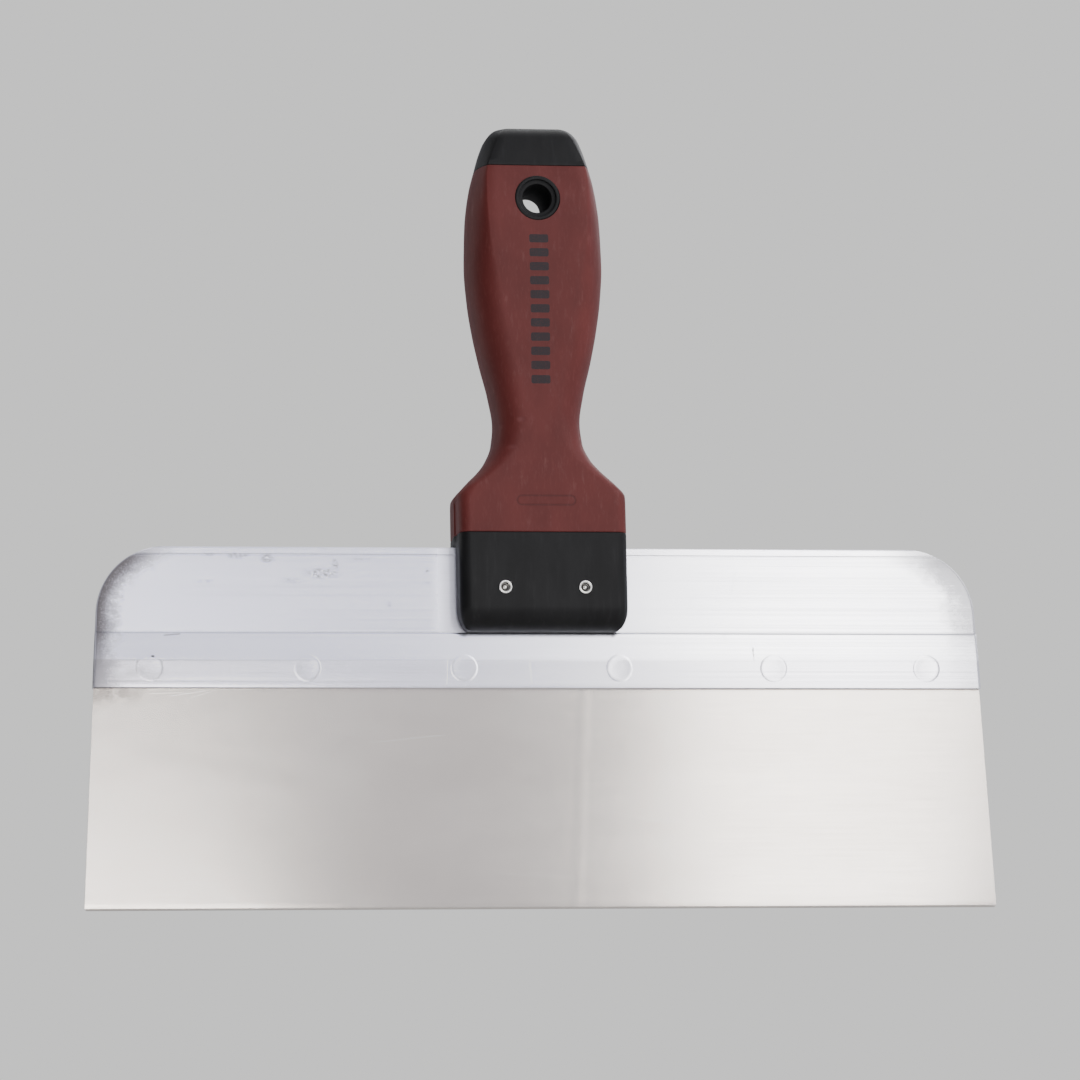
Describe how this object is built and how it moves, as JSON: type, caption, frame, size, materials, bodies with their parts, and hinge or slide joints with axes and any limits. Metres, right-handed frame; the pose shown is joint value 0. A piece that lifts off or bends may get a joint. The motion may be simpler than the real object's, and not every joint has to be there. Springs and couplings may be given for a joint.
{
  "type": "drywall taping knife",
  "caption": "Wide, thin steel taping blade clasped in a straight aluminium backing, with a waisted soft-grip handle riveted over the backing and a hang hole near its butt.",
  "frame": {"origin": "middle of the spreading edge, on the blade's mid plane, the lowest point of the knife", "axes": "+Z from the spreading edge up the handle, +X along the spreading edge, -Y towards the front face"},
  "size_m": [0.3048, 0.0284, 0.262],
  "materials": {
    "blade_steel": "satin rolled spring steel with a fine grain along the edge",
    "backing_alloy": "extruded aluminium with fine drawn lines and dark burnish at its rounded ends",
    "flush_rivet_alloy": "pressed flush and drawn over",
    "core_plastic": "fine matt moulded black",
    "grip_rubber": "soft red-brown overmould, satin",
    "handle_rivet_steel": "bright plated tubular rivet"
  },
  "bodies": {
    "root": {"blade": "blade_steel", "backing": "backing_alloy", "blade_rivet_1": "flush_rivet_alloy", "blade_rivet_2": "flush_rivet_alloy", "blade_rivet_3": "flush_rivet_alloy", "blade_rivet_4": "flush_rivet_alloy", "blade_rivet_5": "flush_rivet_alloy", "blade_rivet_6": "flush_rivet_alloy", "handle_core": "core_plastic", "grip_sleeve": "grip_rubber", "handle_rivet_left": "handle_rivet_steel", "handle_rivet_right": "handle_rivet_steel"}
  },
  "joints": []
}
